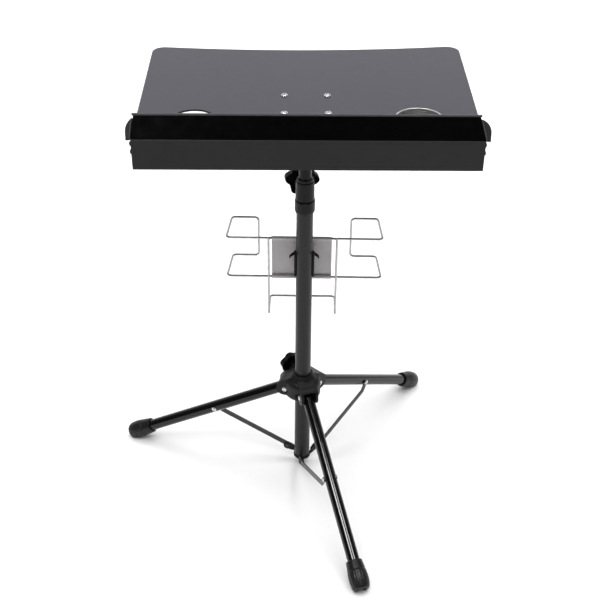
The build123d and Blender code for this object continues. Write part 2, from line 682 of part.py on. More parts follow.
for s, side in ((-1, "left"), (1, "right")):
    x0 = -3 + s * 0.3
    loop = wire([(x0, RAIL_Y, RAIL_TOP), (s * 119.5, RAIL_Y, RAIL_TOP), (s * 114.5, RACK_BACK_Y, RAIL_TOP),
                 (s * 73, RACK_BACK_Y, RAIL_TOP), (s * 73, RACK_BACK_Y, RAIL_LOW), (s * 114.5, RACK_BACK_Y, RAIL_LOW),
                 (s * 119.5, RAIL_Y, RAIL_LOW), (x0, RAIL_Y, RAIL_LOW)], 6)
    save(loop, "rack_loop_" + side, RACK_TURN)

PRONG_Y = RAIL_Y - 2 * WIRE_R - 0.1
hook = wire([(-55, PRONG_Y, RAIL_TOP + 2), (-55, PRONG_Y, 291), (-55, 66, 291), (49.5, 66, 291),
             (49.5, PRONG_Y, 291), (49.5, PRONG_Y, RAIL_TOP + 2)], 6)
save(hook, "rack_hook", RACK_TURN)

with BuildPart() as rack_plate:
    with BuildSketch(Plane.YZ.offset(-50)):
        with Locations((RAIL_Y, RAIL_TOP), (RAIL_Y, RAIL_LOW)):
            Circle(3.0)
        with Locations((RAIL_Y + 2.45, (RAIL_TOP + RAIL_LOW) / 2)):
            Rectangle(1.1, RAIL_TOP - RAIL_LOW)
        with Locations((RAIL_Y, RAIL_TOP), (RAIL_Y, RAIL_LOW)):
            Circle(1.85, mode=Mode.SUBTRACT)
    extrude(amount=92)
    with BuildSketch(Plane.XZ.offset(-30)):
        with Locations((0, 378), (0, 388)):
            Circle(1.65)
    extrude(amount=14, mode=Mode.SUBTRACT)
save(rack_plate, "rack_plate", RACK_TURN)

with BuildPart() as rack_clip:
    with BuildSketch(Plane.XY.offset(372)):
        Circle(15.5)
        with Locations((0, 16)):
            Rectangle(16, 4.0)
        Circle(13.0, mode=Mode.SUBTRACT)
        with BuildLine():
            Polyline((0, 0), (-40, -13), (-40, -40), (40, -40), (40, -13), close=True)
        make_face(mode=Mode.SUBTRACT)
    extrude(amount=41)
    # flared ends at the top of the clip's mouth
    for f in (-1, 1):
        with BuildSketch(Plane.XY.offset(409)):
            with BuildLine():
                Polyline((f * 13.3, 2.5), (f * 15.4, 2.5))
                Spline((f * 15.4, 2.5), (f * 17.2, -0.6), (f * 20.3, -5.0), (f * 22.6, -11.5))
                Line((f * 22.6, -11.5), (f * 21.2, -11.9))
                Spline((f * 21.2, -11.9), (f * 18.9, -6.0), (f * 15.8, -2.0), (f * 13.3, 2.5))
            make_face()
        extrude(amount=4)
    with BuildSketch(Plane.XZ.offset(-30)):
        with Locations((0, 378), (0, 388)):
            Circle(1.65)
    extrude(amount=15.6, mode=Mode.SUBTRACT)
save(rack_clip, "rack_clip", RACK_TURN)

with BuildPart() as rack_rivets:
    for z in (378, 388):
        with BuildSketch(Plane.XZ.offset(-RAIL_Y - 3.02)):
            with Locations((0, z)):
                Circle(1.6)
        extrude(amount=4.4)
        with BuildSketch(Plane.XZ.offset(-RAIL_Y - 3.02)):
            with Locations((0, z)):
                Circle(3.2)
        extrude(amount=-1.5, taper=25)
save(rack_rivets, "rack_rivets", RACK_TURN)
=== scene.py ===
import bpy
import bmesh
from math import sin, cos, tan, pi, radians, sqrt, atan2, exp
from mathutils import Vector, Matrix, noise


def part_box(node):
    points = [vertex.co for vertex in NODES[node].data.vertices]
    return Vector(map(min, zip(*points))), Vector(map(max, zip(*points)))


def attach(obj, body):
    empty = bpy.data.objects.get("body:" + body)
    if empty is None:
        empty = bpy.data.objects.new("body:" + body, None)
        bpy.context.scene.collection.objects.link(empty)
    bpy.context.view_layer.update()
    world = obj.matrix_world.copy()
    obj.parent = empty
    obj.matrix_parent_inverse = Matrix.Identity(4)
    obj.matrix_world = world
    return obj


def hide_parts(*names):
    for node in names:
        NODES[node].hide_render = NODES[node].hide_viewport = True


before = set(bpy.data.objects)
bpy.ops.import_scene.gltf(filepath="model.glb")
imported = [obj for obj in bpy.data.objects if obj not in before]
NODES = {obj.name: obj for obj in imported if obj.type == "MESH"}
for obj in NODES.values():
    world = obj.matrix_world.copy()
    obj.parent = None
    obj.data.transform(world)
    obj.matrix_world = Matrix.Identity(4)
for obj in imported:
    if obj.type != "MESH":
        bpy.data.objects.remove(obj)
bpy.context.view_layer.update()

# ---------------------------------------------------------------------------
# Measures of the stand in millimetres; heights count from the datum of the
# drawing, which lies DZ above the floor.
# ---------------------------------------------------------------------------
DZ = round(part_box("lower_tube")[0][2] * 1000.0 - 14.0, 3)
POLE_R, MAST_R, LEG_R = 12.7, 9.525, 9.525
LEG_AZ = {"front": -73.43, "right": 46.57, "left": 166.57}
PIVOT_R, HUB_PIVOT_Z, SPIDER_PIVOT_Z, LEG_SLOPE = 27.0, 155.4, 18.0, 28.9
BRACE_LEN = (HUB_PIVOT_Z - SPIDER_PIVOT_Z) / 2 / sin(radians(LEG_SLOPE))
LEG_TUBE_END, FOOT_S0, FOOT_S1 = 290.0, 276.5, 321.4
RACK_TURN = radians(-1.2)
TILT_Z, TILT = 626.0, radians(2.5)
ST, CT = sin(TILT), cos(TILT)
DESK_L, DESK_R, DESK_V0, DESK_V1, DESK_TOP, SHEET = -233.0, 237.0, -109.3, 195.7, 28.9, 1.5
LIP_LEN, LIP_DEG = 36.5, 45.0
SCREWS = ((-30.4, -28.0), (30.4, -28.0), (-30.4, 27.8), (30.4, 27.8))
CUP_X, CUP_V, CUP_R = 154.5, -47.3, 34.4
HOLE_X, HOLE_V, HOLE_R = -154.0, -49.5, 29.3
RAIL_Y, RAIL_TOP, RAIL_LOW, WIRE_R, RACK_BACK_Y = 16.2, 428.0, 359.3, 1.75, 80.0
PRONG_Y = RAIL_Y - 2 * WIRE_R - 0.1


def axes(origin, x_dir, z_dir):
    """Matrix from local millimetres to the frame in metres."""
    x, z = Vector(x_dir).normalized(), Vector(z_dir).normalized()
    y = z.cross(x).normalized()
    o = Vector((origin[0], origin[1], origin[2] + DZ))
    m = Matrix((
        (x.x, y.x, z.x, o.x), (x.y, y.y, z.y, o.y), (x.z, y.z, z.z, o.z), (0, 0, 0, 1000.0)))
    return Matrix([[v / 1000.0 for v in row] for row in m])


def radial(az, t=0.0):
    a = radians(az)
    return axes((t * sin(a), -t * cos(a), 0), (cos(a), sin(a), 0), (sin(a), -cos(a), 0))


def leg_axes(az):
    """Local z runs down the leg from the hub pivot, local x is sideways."""
    a, b = radians(az), radians(LEG_SLOPE)
    return axes((PIVOT_R * cos(a), PIVOT_R * sin(a), HUB_PIVOT_Z), (sin(a), -cos(a), 0),
                (cos(b) * cos(a), cos(b) * sin(a), -sin(b)))


DESK = axes((0, 0, TILT_Z), (1, 0, 0), (0, -ST, CT))
PROFILE = axes((0, 0, TILT_Z), (0, CT, ST), (1, 0, 0))
LIP_UP = Vector((0, cos(radians(LIP_DEG) + TILT), sin(radians(LIP_DEG) + TILT)))
CREASE = PROFILE @ Vector((DESK_V0 - SHEET, DESK_TOP, 0))
LIP = axes(CREASE * 1000.0 - Vector((0, 0, DZ)), (1, 0, 0), (0, -LIP_UP.z, LIP_UP.y))


# ---------------------------------------------------------------------------
# Materials
# ---------------------------------------------------------------------------
class Paint:
    """A node-based material with helpers for its textures."""

    def __init__(self, name):
        self.mat = bpy.data.materials.new(name)
        self.mat.use_nodes = True
        self.nt = self.mat.node_tree
        self.bsdf = self.nt.nodes["Principled BSDF"]
        self.coord = self.nt.nodes.new("ShaderNodeTexCoord").outputs["Object"]

    def put(self, **values):
        for k, v in values.items():
            self.bsdf.inputs[k.replace("_", " ")].default_value = v
        return self

    def mapped(self, scale=(1, 1, 1), move=(0, 0, 0), turn=(0, 0, 0)):
        n = self.nt.nodes.new("ShaderNodeMapping")
        n.inputs["Scale"].default_value = scale
        n.inputs["Location"].default_value = move
        n.inputs["Rotation"].default_value = turn
        self.nt.links.new(self.coord, n.inputs["Vector"])
        return n.outputs["Vector"]

    def noise(self, scale, detail=3.0, rough=0.55, vec=None, distort=0.0):
        n = self.nt.nodes.new("ShaderNodeTexNoise")
        n.inputs["Scale"].default_value = scale
        n.inputs["Detail"].default_value = detail
        n.inputs["Roughness"].default_value = rough
        n.inputs["Distortion"].default_value = distort
        self.nt.links.new(vec or self.coord, n.inputs["Vector"])
        return n.outputs["Fac"]

    def cells(self, scale, vec=None):
        n = self.nt.nodes.new("ShaderNodeTexVoronoi")
        n.inputs["Scale"].default_value = scale
        self.nt.links.new(vec or self.coord, n.inputs["Vector"])
        return n.outputs["Distance"]

    def ramp(self, fac, stops):
        n = self.nt.nodes.new("ShaderNodeValToRGB")
        r = n.color_ramp
        while len(r.elements) < len(stops):
            r.elements.new(0.5)
        for e, (p, c) in zip(r.elements, stops):
            e.position = p
            e.color = (c[0], c[1], c[2], 1)
        self.nt.links.new(fac, n.inputs["Fac"])
        return n.outputs["Color"]

    def span(self, fac, lo, hi, a=0.3, b=0.7):
        n = self.nt.nodes.new("ShaderNodeMapRange")
        n.inputs["From Min"].default_value = a
        n.inputs["From Max"].default_value = b
        n.inputs["To Min"].default_value = lo
        n.inputs["To Max"].default_value = hi
        self.nt.links.new(fac, n.inputs["Value"])
        return n.outputs["Result"]

    def bump(self, height, strength, distance, under=None):
        n = self.nt.nodes.new("ShaderNodeBump")
        n.inputs["Strength"].default_value = strength
        n.inputs["Distance"].default_value = distance
        self.nt.links.new(height, n.inputs["Height"])
        if under is not None:
            self.nt.links.new(under, n.inputs["Normal"])
        return n.outputs["Normal"]

    def link(self, out, socket):
        self.nt.links.new(out, self.bsdf.inputs[socket])
        return self


def grey(v, cast=(1.0, 1.0, 1.0)):
    return tuple(v * c for c in cast)


def painted(name, base, rough, spec=0.5, peel=0.12, size=900.0, cast=(1, 0.985, 1.02), spread=0.18, dr=0.06, coat=0.0,
            coat_rough=0.05):
    """Sprayed or powder-coated steel: orange peel, slight cloudiness, fine dust specks."""
    p = Paint(name)
    p.put(Specular_IOR_Level=spec, Coat_Weight=coat, Coat_Roughness=coat_rough)
    cloud = p.noise(14.0, 4.0)
    p.link(p.ramp(cloud, [(0.25, grey(base * (1 - spread), cast)), (0.75, grey(base * (1 + spread), cast))]), "Base Color")
    p.link(p.span(p.noise(70.0, 4.0, 0.6), rough - dr, rough + dr), "Roughness")
    peeled = p.bump(p.noise(size, 2.0, 0.45), peel, 0.00012)
    p.link(p.bump(p.noise(size * 4.5, 1.0), peel * 0.5, 0.00004, peeled), "Normal")
    return p.mat


def moulded(name, base, rough, spec=0.5, grain=0.25, size=1500.0, cast=(1, 0.99, 1.02), spread=0.15):
    """Moulded plastic with a fine spark-eroded grain."""
    p = Paint(name)
    p.put(Specular_IOR_Level=spec)
    p.link(p.ramp(p.noise(22.0, 5.0), [(0.3, grey(base * (1 - spread), cast)), (0.7, grey(base * (1 + spread), cast))]), "Base Color")
    p.link(p.span(p.noise(160.0, 4.0), rough - 0.07, rough + 0.07), "Roughness")
    grained = p.bump(p.cells(size), grain, 0.00008)
    p.link(p.bump(p.noise(size * 0.25, 3.0), grain * 0.5, 0.0001, grained), "Normal")
    return p.mat


def plated(name, c1, c2, rough, dr=0.08, stretch=(1, 1, 1), size=260.0, scratch=0.05, metal=1.0):
    """Plated or bare metal with faint drawn streaks and cloudy plating."""
    p = Paint(name)
    p.put(Metallic=metal)
    vec = p.mapped(stretch)
    p.link(p.ramp(p.noise(size * 0.3, 4.0, 0.6, vec), [(0.3, c1), (0.7, c2)]), "Base Color")
    p.link(p.span(p.noise(size, 5.0, 0.65, vec), rough - dr, rough + dr), "Roughness")
    p.link(p.bump(p.noise(size * 3.0, 3.0, 0.6, vec), scratch, 0.00005), "Normal")
    return p.mat


M = {}
M["desk"] = painted("desk_powder_coat", 0.034, 0.36, 0.5, 0.06, 850.0, (0.98, 0.945, 1.24), spread=0.03, dr=0.015)
M["apron"] = painted("apron_powder_coat", 0.0105, 0.42, 0.24, 0.12, 850.0, spread=0.08)
M["lip"] = None
M["tube"] = painted("tube_satin_black", 0.011, 0.30, 0.29, 0.03, 700.0, spread=0.08, dr=0.03)
M["mast"] = painted("mast_satin_black", 0.005, 0.28, 0.155, 0.03, 700.0, spread=0.08, dr=0.03)
M["leg"] = painted("leg_gloss_black", 0.0036, 0.12, 0.40, 0.02, 500.0, spread=0.08, dr=0.03)
M["brace"] = painted("brace_black", 0.042, 0.34, 0.42, 0.08, 800.0)
M["plastic"] = moulded("clutch_plastic", 0.0058, 0.42, 0.19)
M["knob"] = moulded("knob_plastic", 0.0016, 0.44, 0.06, 0.3)
M["hub"] = moulded("hub_plastic", 0.0095, 0.46, 0.23, 0.22, 1300.0)
M["ear"] = moulded("ear_plastic", 0.0085, 0.45, 0.20)
M["zinc"] = plated("zinc_plate", (0.66, 0.66, 0.67), (0.84, 0.84, 0.84), 0.26, metal=0.72)
# the rolled rim is a lighter, half-diffuse copy of the cup's steel: a painted highlight standing in for the rim's
# bright reflection
M["rim"] = plated("rolled_rim_steel_painted_sheen", (0.80, 0.795, 0.785), (0.92, 0.915, 0.905), 0.24, 0.06, metal=0.55)
# the end-cap bead is far lighter than the end cap: a painted highlight along the bead
M["ear_bead"] = moulded("ear_bead_plastic_painted_highlight", 0.050, 0.40, 0.35, 0.15)
M["dark_rivet"] = plated("blackened_steel", (0.045, 0.044, 0.045), (0.085, 0.083, 0.084), 0.34)
M["wire"] = plated("nickel_wire", (0.38, 0.375, 0.37), (0.50, 0.495, 0.49), 0.32, 0.07, (1, 1, 1), 300.0, metal=0.9)
M["brass"] = plated("turned_brass", (0.70, 0.50, 0.22), (0.80, 0.60, 0.30), 0.28)
M["nylon"] = moulded("nylon", 0.62, 0.5, 0.4, 0.12, 900.0, (1.0, 0.985, 0.94), 0.04)
M["bracket"] = painted("bracket_black", 0.016, 0.40, 0.36, 0.12, 800.0)


def rubber_material():
    p = Paint("foot_rubber")
    p.put(Specular_IOR_Level=0.33)
    dust = p.noise(45.0, 6.0, 0.7)
    p.link(p.ramp(dust, [(0.35, (0.0065, 0.0064, 0.0068)), (0.62, (0.0095, 0.0093, 0.0100)), (0.80, (0.018, 0.0176, 0.0185))]), "Base Color")
    p.link(p.span(p.noise(120.0, 5.0, 0.65), 0.28, 0.46), "Roughness")
    fine = p.bump(p.noise(1400.0, 2.0), 0.15, 0.0001)
    p.link(p.bump(p.noise(260.0, 4.0), 0.10, 0.0002, fine), "Normal")
    return p.mat


def plate_material():
    p = Paint("rack_plate_grey")
    p.put(Specular_IOR_Level=0.4)
    p.link(p.ramp(p.noise(30.0, 4.0), [(0.3, (0.53, 0.51, 0.51)), (0.7, (0.60, 0.58, 0.58))]), "Base Color")
    p.link(p.span(p.noise(200.0, 4.0), 0.36, 0.52), "Roughness")
    p.link(p.bump(p.noise(1100.0, 2.0), 0.12, 0.0001), "Normal")
    return p.mat


def cup_material():
    """Spun steel: rings around the cup's axis."""
    p = Paint("cup_spun_steel")
    p.put(Metallic=1.0)
    c = DESK @ Vector((CUP_X, CUP_V, 0))
    flat = p.mapped((1, 1, 0), (-c.x, -c.y, 0))
    n = p.nt.nodes.new("ShaderNodeVectorMath")
    n.operation = "LENGTH"
    p.nt.links.new(flat, n.inputs[0])
    ring = p.nt.nodes.new("ShaderNodeCombineXYZ")
    p.nt.links.new(n.outputs["Value"], ring.inputs["X"])
    high = p.nt.nodes.new("ShaderNodeSeparateXYZ")
    p.nt.links.new(p.coord, high.inputs["Vector"])
    p.nt.links.new(high.outputs["Z"], ring.inputs["Y"])
    lines = p.noise(2600.0, 3.0, 0.6, ring.outputs["Vector"])
    p.link(p.ramp(p.noise(90.0, 4.0), [(0.3, (0.72, 0.71, 0.695)), (0.7, (0.80, 0.79, 0.775))]), "Base Color")
    p.link(p.span(lines, 0.20, 0.42), "Roughness")
    p.link(p.bump(lines, 0.12, 0.00006), "Normal")
    return p.mat


def lip_material():
    """Gloss black sheet whose rolled hem is coated grey like the desk, its base lightened further as a painted
    reflection.
    """
    p = Paint("lip_gloss_black")
    p.put(Specular_IOR_Level=0.16)
    rise = p.nt.nodes.new("ShaderNodeVectorMath")
    rise.operation = "DOT_PRODUCT"
    p.nt.links.new(p.mapped((1, 1, 1), tuple(-c for c in CREASE)), rise.inputs[0])
    rise.inputs[1].default_value = tuple(LIP_UP)
    up = p.span(rise.outputs["Value"], 0.0, 1.0, (LIP_LEN - 2.1) / 1000.0, (LIP_LEN - 1.3) / 1000.0)
    # the hem's base (0.078, above the desk's 0.034) is a painted reflection of the bright room, which the lip's low
    # specular level cannot give
    p.link(p.ramp(up, [(0.0, (0.0014, 0.00138, 0.0015)), (1.0, (0.078, 0.076, 0.083))]), "Base Color")
    p.link(p.span(p.noise(70.0, 4.0, 0.6), 0.10, 0.15), "Roughness")
    p.link(p.bump(p.noise(600.0, 2.0, 0.45), 0.03, 0.00012), "Normal")
    return p.mat


M["lip"] = lip_material()
M["rubber"] = rubber_material()
M["plate"] = plate_material()
M["cup"] = cup_material()


def paint(obj, mat):
    obj.data.materials.clear()
    obj.data.materials.append(mat)


FLOOR_R = 3.6


def floor_material():
    p = Paint("studio_floor")
    p.put(Specular_IOR_Level=0.0, Emission_Color=(1, 1, 1, 1))
    # the floor glows, a painted light that lifts the shadows near the stand, and glows more outwards until it meets the
    # backdrop
    out = p.nt.nodes.new("ShaderNodeVectorMath")
    out.operation = "LENGTH"
    p.nt.links.new(p.mapped((1, 1, 1)), out.inputs[0])
    p.link(p.span(out.outputs["Value"], 0.09, 0.62, 1.3, FLOOR_R - 0.2), "Emission Strength")
    p.link(p.ramp(p.noise(3.0, 3.0), [(0.3, (0.90, 0.90, 0.90)), (0.7, (0.92, 0.92, 0.92))]), "Base Color")
    p.link(p.span(p.noise(20.0, 3.0), 0.85, 0.95), "Roughness")
    return p.mat


# ---------------------------------------------------------------------------
# Mesh builders
# ---------------------------------------------------------------------------
def finish_mesh(bm, name, mat, body, node=None, sharp=35.0):
    bmesh.ops.remove_doubles(bm, verts=bm.verts, dist=1e-7)
    bmesh.ops.recalc_face_normals(bm, faces=bm.faces)
    me = bpy.data.meshes.new(name)
    bm.to_mesh(me)
    bm.free()
    me.shade_smooth()
    me.set_sharp_from_angle(angle=radians(sharp))
    obj = bpy.data.objects.new(name, me)
    bpy.context.scene.collection.objects.link(obj)
    paint(obj, mat)
    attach(obj, body)
    if node:
        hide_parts(*([node] if isinstance(node, str) else node))
    return obj


def ring_verts(bm, points, m):
    return [bm.verts.new(m @ Vector(p)) for p in points]


def bridge(bm, a, b):
    n = len(a)
    for i in range(n):
        bm.faces.new((a[i], a[(i + 1) % n], b[(i + 1) % n], b[i]))


def lathe(bm, profile, m, steps=72, closed=False, wobble=None):
    """Turns (radius, height) points about local z."""
    rings = []
    for k, (r, h) in enumerate(profile):
        if r < 1e-6:
            rings.append([bm.verts.new(m @ Vector((0, 0, h)))])
            continue
        pts = []
        for i in range(steps):
            a = 2 * pi * i / steps
            q = r + (wobble(a, h) if wobble else 0.0)
            pts.append((q * cos(a), q * sin(a), h))
        rings.append(ring_verts(bm, pts, m))
    pairs = list(zip(rings, rings[1:])) + ([(rings[-1], rings[0])] if closed else [])
    for a, b in pairs:
        if len(a) == 1 and len(b) == 1:
            continue
        if len(a) == 1:
            for i in range(steps):
                bm.faces.new((a[0], b[(i + 1) % steps], b[i]))
        elif len(b) == 1:
            for i in range(steps):
                bm.faces.new((a[i], a[(i + 1) % steps], b[0]))
        else:
            bridge(bm, a, b)


def arc(cx, cy, r, a0, a1, n=6):
    return [(cx + r * cos(radians(a0 + (a1 - a0) * i / n)), cy + r * sin(radians(a0 + (a1 - a0) * i / n))) for i in range(n + 1)]


def dome(radius, rim, height, n=7):
    """Profile of a rivet or screw head from its seat to the middle of its crown."""
    pts = [(radius, 0.0), (radius, rim)]
    big = (radius * radius + height * height) / (2 * height)
    top = rim + height
    for i in range(1, n + 1):
        r = radius * (1 - i / n)
        pts.append((r, top - big + sqrt(big * big - r * r)))
    return pts


def refine(name, width, angle=34.0, segments=2):
    """Breaks the sharp edges of a CAD node that stays in view."""
    o = NODES[name]
    w = o.modifiers.new("join", "WELD")
    w.merge_threshold = 0.000004
    d = o.modifiers.new("flats", "DECIMATE")
    d.decimate_type = "DISSOLVE"
    d.angle_limit = radians(0.25)
    b = o.modifiers.new("edges", "BEVEL")
    b.width = width / 1000.0
    b.segments = segments
    b.limit_method = "ANGLE"
    b.angle_limit = radians(angle)
    b.use_clamp_overlap = True
    b.miter_outer = "MITER_ARC"
    n = o.modifiers.new("shade", "WEIGHTED_NORMAL")
    n.keep_sharp = False
    n.weight = 60
    return o


# ---------------------------------------------------------------------------
# Rubber feet
# ---------------------------------------------------------------------------
FOOT = [(FOOT_S0, 11.75), (FOOT_S0 + 0.45, 12.35), (FOOT_S0 + 1.3, 12.68), (FOOT_S0 + 7.0, 13.35), (FOOT_S0 + 14.0, 14.15),
        (FOOT_S0 + 21.0, 14.92), (FOOT_S0 + 27.5, 15.28), (FOOT_S0 + 33.0, 15.02), (FOOT_S0 + 37.5, 14.42),
        (FOOT_S1 - 4.6, 13.82), (FOOT_S1 - 2.6, 13.02), (FOOT_S1 - 1.2, 12.2), (FOOT_S1 - 0.45, 11.45), (FOOT_S1, 10.1)]


def smooth(lo, hi, v):
    t = max(0.0, min(1.0, (v - lo) / (hi - lo)))
    return t * t * (3 - 2 * t)


def foot_radius(s):
    for (s0, r0), (s1, r1) in zip(FOOT, FOOT[1:]):
        if s <= s1:
            t = (s - s0) / (s1 - s0)
            i = FOOT.index((s0, r0))
            pa = FOOT[max(i - 1, 0)][1]
            pb = FOOT[min(i + 2, len(FOOT) - 1)][1]
            m0, m1 = (r1 - pa) / 2, (pb - r0) / 2
            if s1 - s0 < 2.0:
                return r0 + (r1 - r0) * t
            return ((2 * t ** 3 - 3 * t ** 2 + 1) * r0 + (t ** 3 - 2 * t ** 2 + t) * m0
                    + (-2 * t ** 3 + 3 * t ** 2) * r1 + (t ** 3 - t ** 2) * m1)
    return FOOT[-1][1]


def foot_skin(s):
    r = foot_radius(s)
    r -= 0.50 * exp(-((s - FOOT_S0 - 15.2) / 0.55) ** 2)          # parting groove under the smooth collar
    r -= 0.28 * exp(-((s - FOOT_S1 + 5.4) / 0.5) ** 2)            # groove over the sole ring
    return r


def foot_ribs(a, s):
    band = smooth(FOOT_S0 + 16.2, FOOT_S0 + 18.5, s) * (1 - smooth(FOOT_S1 - 9.0, FOOT_S1 - 6.2, s))
    return -0.42 * band * max(0.0, cos(18 * a)) ** 1.5


for side, az in LEG_AZ.items():
    bm = bmesh.new()
    m = leg_axes(az)
    prof = [(0.0, LEG_TUBE_END + 0.2), (9.56, LEG_TUBE_END + 0.2), (9.56, FOOT_S0 + 0.5), (10.1, FOOT_S0)]
    n = 92
    for i in range(n + 1):
        s = FOOT_S0 + (FOOT_S1 - FOOT_S0) * i / n
        prof.append((foot_skin(s), s))
    prof += [(8.3, FOOT_S1), (7.6, FOOT_S1 - 0.25), (7.2, FOOT_S1 - 0.9), (6.6, FOOT_S1 - 1.2), (0.0, FOOT_S1 - 1.2)]

    def outer(a, h, lim=FOOT_S0 + 2):
        return foot_ribs(a, h) if h > lim else 0.0
    lathe(bm, prof, m, 144, wobble=lambda a, h: foot_ribs(a, h))
    cut = bmesh.ops.bisect_plane(bm, geom=bm.verts[:] + bm.edges[:] + bm.faces[:], plane_co=(0, 0, 0.00002),
                                 plane_no=(0, 0, 1), clear_inner=True)
    rim = [e for e in cut["geom_cut"] if isinstance(e, bmesh.types.BMEdge)]
    bmesh.ops.edgeloop_fill(bm, edges=rim)
    finish_mesh(bm, "foot_" + side + "_rubber", M["rubber"], "leg_" + side, "foot_" + side, 40)


# ---------------------------------------------------------------------------
# Rivets
# ---------------------------------------------------------------------------
def head(radius, rim, height, dimple):
    """Crown of a semi-tubular rivet, from its seat to the floor of its dimple."""
    pts = dome(radius, rim, height, 9)
    keep = [p for p in pts if p[0] > dimple * 1.25]
    top = keep[-1][1]
    return keep + [(dimple * 1.15, top + 0.02), (dimple, top - 0.12), (dimple * 0.86, top - 0.7), (dimple * 0.5, top - 0.85), (0.0, top - 0.85)]


def rivet(bm, m, shank, z0, z1, big, lift, dimple=1.7):
    up = [(r, z1 + h) for r, h in head(big, 0.45, lift - 0.45, dimple)]
    down = [(r, z0 - h) for r, h in head(big, 0.45, lift - 0.45, dimple)]
    lathe(bm, down[::-1] + [(shank, z0), (shank, z1)] + up, m, 40)


bm = bmesh.new()
for az in LEG_AZ.values():
    rivet(bm, radial(az) @ Matrix.Translation((PIVOT_R, HUB_PIVOT_Z, 0)), 3.0, -14.0, 14.0, 4.4, 2.15, 1.7)
finish_mesh(bm, "hub_rivet_set", M["zinc"], "hub", "hub_rivets", 40)
for side, az in LEG_AZ.items():
    bm = bmesh.new()
    b = radians(LEG_SLOPE)
    rivet(bm, radial(az) @ Matrix.Translation((PIVOT_R + BRACE_LEN * cos(b), (HUB_PIVOT_Z + SPIDER_PIVOT_Z) / 2, 0)),
          2.45, -LEG_R - 0.3, 12.3, 3.9, 1.75, 1.35)
    finish_mesh(bm, "leg_rivet_head_" + side, M["zinc"], "leg_" + side, "leg_rivet_" + side, 40)
bm = bmesh.new()
for az in LEG_AZ.values():
    rivet(bm, radial(az) @ Matrix.Translation((PIVOT_R, SPIDER_PIVOT_Z, 0)), 2.45, 6.0, 12.3, 3.8, 1.36, 1.25)
finish_mesh(bm, "spider_rivet_set", M["dark_rivet"], "pole", "spider_rivets", 40)


# ---------------------------------------------------------------------------
# Cross-recess screws
# ---------------------------------------------------------------------------
def cross_screw(bm, m, radius, rim, height, shank, depth, arm=2.35, half=0.52):
    steps, n = 96, 26
    big = (radius * radius + height * height) / (2 * height)
    top = rim + height
    rings = []
    for r, h in ((0.0, -depth), (shank * 0.75, -depth), (shank, -depth + 0.6), (shank, 0.0), (radius, 0.0), (radius, rim)):
        if r == 0.0:
            rings.append([bm.verts.new(m @ Vector((0, 0, h)))])
        else:
            rings.append(ring_verts(bm, [(r * cos(2 * pi * i / steps), r * sin(2 * pi * i / steps), h) for i in range(steps)], m))
    for k in range(1, n):
        r = radius * (1 - k / n)
        pts = []
        for i in range(steps):
            a = 2 * pi * i / steps
            x, y = r * cos(a), r * sin(a)
            z = top - big + sqrt(big * big - r * r)
            ax, ay = min(abs(x), abs(y)), max(abs(x), abs(y))
            cut = (1 - smooth(half - 0.08, half + 0.12, ax)) * (1 - smooth(arm - 0.25, arm + 0.2, ay))
            cut = max(cut, (1 - smooth(0.9, 1.2, r)))
            z -= cut * (1.55 * (1 - 0.55 * (r / arm) ** 2) if r < arm * 1.2 else 0.3)
            pts.append((x, y, z))
        rings.append(ring_verts(bm, pts, m))
    rings.append([bm.verts.new(m @ Vector((0, 0, top - 1.62)))])
    for a, b in zip(rings, rings[1:]):
        if len(a) == 1:
            for i in range(steps):
                bm.faces.new((a[0], b[(i + 1) % steps], b[i]))
        elif len(b) == 1:
            for i in range(steps):
                bm.faces.new((a[i], a[(i + 1) % steps], b[0]))
        else:
            bridge(bm, a, b)


bm = bmesh.new()
for k, (x, v) in enumerate(SCREWS):
    cross_screw(bm, DESK @ Matrix.Translation((x, v, DESK_TOP + 0.02)) @ Matrix.Rotation(radians(17 + 31 * k), 4, "Z"),
                4.85, 0.7, 2.3, 2.5, 11.9)
finish_mesh(bm, "bracket_screw_set", M["zinc"], "desk", "bracket_screws", 32)
bm = bmesh.new()
for s, x in ((-1, DESK_L - 0.2), (1, DESK_R + 0.2)):
    for k, w in enumerate((8.0, 20.0)):
        m = axes(PROFILE @ Vector((DESK_V0 + 7.5, w, x)) * 1000.0 - Vector((0, 0, DZ)), (0, CT, ST), (s, 0, 0))
        cross_screw(bm, m @ Matrix.Rotation(radians(12 + 40 * k), 4, "Z"), 3.85, 1.0, 2.05, 1.8, 1.5, 1.8, 0.45)
finish_mesh(bm, "side_screw_set", M["bracket"], "desk", "side_screws", 32)


# ---------------------------------------------------------------------------
# Cup and the trim ring of the plain hole
# ---------------------------------------------------------------------------
top = DESK_TOP + 0.3
R = CUP_R
prof = [(0.0, top - 49.4), (17.0, top - 49.4), (18.0, top - 49.6), (19.2, top - 50.0), (26.6, top - 50.0)]
prof += [(27.0 + 3.1 * sin(radians(t)), top - 46.9 - 3.1 * cos(radians(t))) for t in range(10, 91, 16)]


def wall(t, inset):
    return 30.2 + (R - 1.75 - 30.2) * t - inset


for i in range(1, 40):
    t = i / 40
    h = top - 46.9 + 46.3 * t
    bead = sum(0.30 * exp(-((h - (top - d)) / 0.6) ** 2) for d in (9.0, 11.2, 38.0))
    prof.append((wall(t, bead), h))
prof += [(R - 1.72, top - 0.3)]
prof += [(R - 0.85 + 0.85 * cos(radians(a)), top + 0.75 + 0.95 * sin(radians(a))) for a in range(-80, 181, 20)]
prof += [(R - 2.0, top + 0.2)]
for i in range(39, 0, -1):
    t = i / 40
    h = top - 46.9 + 46.3 * t
    bead = sum(0.30 * exp(-((h - (top - d)) / 0.6) ** 2) for d in (9.0, 11.2, 38.0))
    prof.append((wall(t, bead) - 0.85, h))
prof += [(26.9 + 2.3 * sin(radians(t)), top - 46.8 - 2.3 * cos(radians(t))) for t in range(88, -1, -16)]
prof += [(19.4, top - 49.1), (18.2, top - 48.7), (17.0, top - 48.5), (0.0, top - 48.5)]
bm = bmesh.new()
lathe(bm, prof, DESK @ Matrix.Translation((CUP_X, CUP_V, 0)), 128)
finish_mesh(bm, "cup_spun", M["cup"], "cup", "cup", 50)
